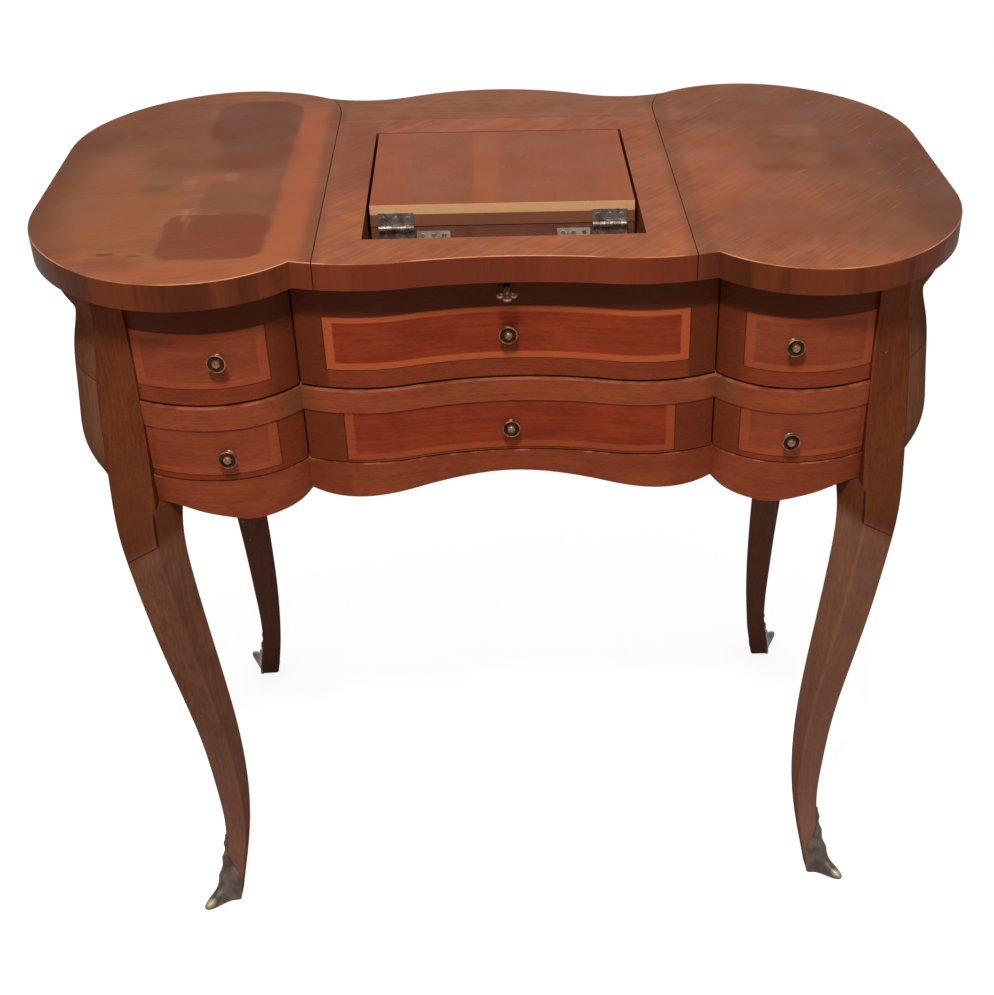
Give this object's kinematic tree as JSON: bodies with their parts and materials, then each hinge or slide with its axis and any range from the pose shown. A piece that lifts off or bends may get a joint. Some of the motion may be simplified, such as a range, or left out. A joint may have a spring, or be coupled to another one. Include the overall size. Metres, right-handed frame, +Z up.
{
  "type": "poudreuse dressing table",
  "caption": "Lobed dressing table on cabriole legs with bronze shoes, swivelling side lids over wells, a folding cover over a tilting mirror, and fitted drawers with dished knobs.",
  "frame": {"origin": "on the floor, under the middle of the top's outline", "axes": "+Z up, +X to the right along the front, the drawer fronts face -Y"},
  "size_m": [0.842, 0.5224, 0.741],
  "materials": {
    "top_veneer": "waxed",
    "front_veneer": "waxed",
    "side_veneer": "waxed",
    "leg_veneer": "waxed",
    "case_wood": "bare",
    "drawer_wood": "bare",
    "brass": "worn",
    "bronze": "patinated",
    "hinge_metal": "worn",
    "iron": "dark",
    "mirror_glass": "polished"
  },
  "bodies": {
    "case": {"leg_front_left": "leg_veneer", "leg_front_right": "leg_veneer", "leg_rear_left": "leg_veneer", "leg_rear_right": "leg_veneer", "sabot_front_left": "bronze", "sabot_front_right": "bronze", "sabot_rear_left": "bronze", "sabot_rear_right": "bronze", "side_panel_left": "side_veneer", "side_panel_right": "side_veneer", "back_panel_left": "side_veneer", "back_panel_center": "side_veneer", "back_panel_right": "side_veneer", "partition_left": "case_wood", "partition_right": "case_wood", "false_front_left": "front_veneer", "false_front_right": "front_veneer", "false_front_knobs": "brass", "ledge_rail": "front_veneer", "apron": "front_veneer", "well_floor_left": "case_wood", "well_floor_right": "case_wood", "dust_board": "case_wood", "bottom_board": "case_wood", "drawer_guides": "case_wood", "center_top": "top_veneer", "lid_pins": "iron", "pivot_blocks": "case_wood", "mirror_well_floor": "case_wood", "mirror_well_walls": "case_wood", "prop_track": "case_wood", "tilt_hinge_lower": "hinge_metal"},
    "center_drawer_1": {"center_drawer_1_front": "front_veneer", "center_drawer_1_box": "drawer_wood", "center_drawer_1_floor": "drawer_wood", "center_drawer_1_knob": "brass", "drawer_lock": "brass"},
    "key": {"drawer_key": "brass"},
    "center_drawer_2": {"center_drawer_2_front": "front_veneer", "center_drawer_2_box": "drawer_wood", "center_drawer_2_floor": "drawer_wood", "center_drawer_2_knob": "brass"},
    "left_drawer": {"left_drawer_front": "front_veneer", "left_drawer_box": "drawer_wood", "left_drawer_floor": "drawer_wood", "left_drawer_knob": "brass"},
    "right_drawer": {"right_drawer_front": "front_veneer", "right_drawer_box": "drawer_wood", "right_drawer_floor": "drawer_wood", "right_drawer_knob": "brass"},
    "left_lid": {"lid_left": "top_veneer"},
    "right_lid": {"lid_right": "top_veneer"},
    "mirror_rest": {"mirror_frame": "case_wood", "mirror_glass": "mirror_glass", "tilt_hinge_upper": "hinge_metal", "lid_hinge_lower": "hinge_metal", "prop_bracket": "iron"},
    "mirror_cover": {"mirror_lid": "top_veneer", "lid_hinge_upper": "hinge_metal"},
    "mirror_prop": {"prop_strut": "case_wood"}
  },
  "joints": [
    {"name": "center_drawer_1_slide", "type": "slide", "parent": "case", "child": "center_drawer_1", "axis": [0, -1, 0], "range_m": [0, 0.22]},
    {"name": "center_drawer_2_slide", "type": "slide", "parent": "case", "child": "center_drawer_2", "axis": [0, -1, 0], "range_m": [0, 0.22]},
    {"name": "left_drawer_slide", "type": "slide", "parent": "case", "child": "left_drawer", "axis": [0, -1, 0], "range_m": [0, 0.2]},
    {"name": "right_drawer_slide", "type": "slide", "parent": "case", "child": "right_drawer", "axis": [0, -1, 0], "range_m": [0, 0.2]},
    {"name": "key_turn", "type": "hinge", "parent": "center_drawer_1", "child": "key", "pos_m": [0, -0.2, 0.702], "axis": [0, 1, 0], "range_deg": [0, 90]},
    {"name": "right_lid_swivel", "type": "hinge", "parent": "case", "child": "right_lid", "pos_m": [0.302, 0.172, 0.717], "axis": [0, 0, 1], "range_deg": [0, 100]},
    {"name": "left_lid_swivel", "type": "hinge", "parent": "case", "child": "left_lid", "pos_m": [-0.302, 0.172, 0.717], "axis": [0, 0, -1], "range_deg": [0, 100]},
    {"name": "mirror_tilt", "type": "hinge", "parent": "case", "child": "mirror_rest", "pos_m": [0, -0.096, 0.704], "axis": [1, 0, 0], "range_deg": [0, 45]},
    {"name": "mirror_cover_fold", "type": "hinge", "parent": "mirror_rest", "child": "mirror_cover", "pos_m": [0, -0.096, 0.721], "axis": [1, 0, 0], "range_deg": [0, 90]},
    {"name": "mirror_prop_swing", "type": "hinge", "parent": "mirror_rest", "child": "mirror_prop", "pos_m": [0, -0.008, 0.704], "axis": [1, 0, 0], "range_deg": [-90, 0]}
  ],
  "couplings": [
    {"joint": "mirror_prop_swing", "follows": "mirror_tilt", "ratio": -2}
  ]
}
